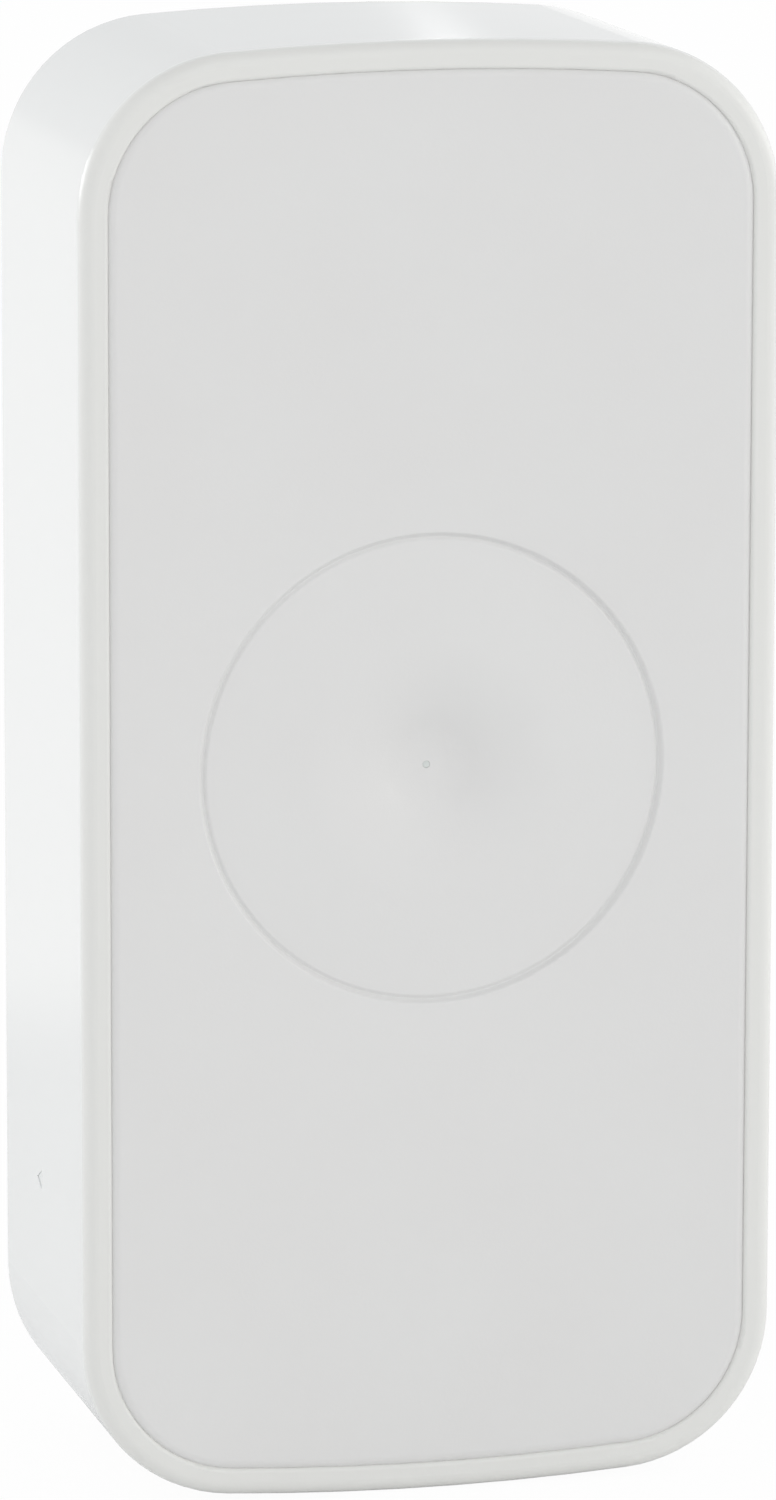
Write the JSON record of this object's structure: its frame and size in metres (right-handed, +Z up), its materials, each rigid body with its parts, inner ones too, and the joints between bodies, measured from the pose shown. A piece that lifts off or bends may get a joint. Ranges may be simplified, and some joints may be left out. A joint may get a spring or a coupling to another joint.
{
  "type": "door and window sensor",
  "caption": "Slim battery sensor for a door or window: rounded white case, flush front panel with a dished ring at its centre, magnetic switch beside a small mark on its side.",
  "frame": {"origin": "centre of the back face, on the wall", "axes": "+Z up along the long side, -Y out of the front panel, +Y into the wall, +X to the right seen from the front"},
  "size_m": [0.033, 0.018, 0.068],
  "materials": {
    "case_plastic": "glossy moulded ABS",
    "panel_plastic": "fine matte moulded ABS",
    "foam_tape": "white foam tape",
    "board_laminate": "green solder mask on glass laminate",
    "led_body": "clear epoxy lamp",
    "shield_metal": "tinned steel",
    "chip_epoxy": "black moulded epoxy",
    "antenna_ceramic": "white ceramic",
    "capacitor_ceramic": "tan ceramic",
    "resistor_ceramic": "black coated ceramic",
    "switch_metal": "stamped steel",
    "button_plastic": "black moulded nylon",
    "battery_wrap": "plain shrink wrap over steel",
    "contact_nickel": "nickel plated spring steel",
    "spring_steel": "nickel plated wire",
    "holder_plastic": "moulded ABS",
    "screw_steel": "zinc plated steel",
    "light_pipe_acrylic": "clear acrylic",
    "reed_glass": "green tinted glass",
    "lead_wire": "tinned nickel iron wire"
  },
  "bodies": {
    "case": {"case_tray": "case_plastic", "adhesive_pads": "foam_tape", "circuit_board": "board_laminate", "status_led": "led_body", "radio_shield": "shield_metal", "microcontroller": "chip_epoxy", "crystal": "shield_metal", "chip_antenna": "antenna_ceramic", "capacitors": "capacitor_ceramic", "resistors": "resistor_ceramic", "reset_switch": "switch_metal", "battery_left": "battery_wrap", "battery_right": "battery_wrap", "negative_terminal": "contact_nickel", "positive_terminal": "contact_nickel", "bridge_contact": "contact_nickel", "spring_left": "spring_steel", "spring_right": "spring_steel", "battery_holder": "holder_plastic", "holder_screws": "screw_steel", "light_pipe": "light_pipe_acrylic", "reed_glass": "reed_glass", "reed_leads": "lead_wire"},
    "panel": {"front_panel": "panel_plastic"},
    "button": {"reset_button": "button_plastic"}
  },
  "joints": [
    {"name": "panel_lift", "type": "slide", "parent": "case", "child": "panel", "axis": [0, -1, 0], "range_m": [0, 0.022]},
    {"name": "reset_press", "type": "slide", "parent": "case", "child": "button", "axis": [0, 1, 0], "range_m": [0, 0.00025], "stiffness_N_per_m": 1000}
  ]
}
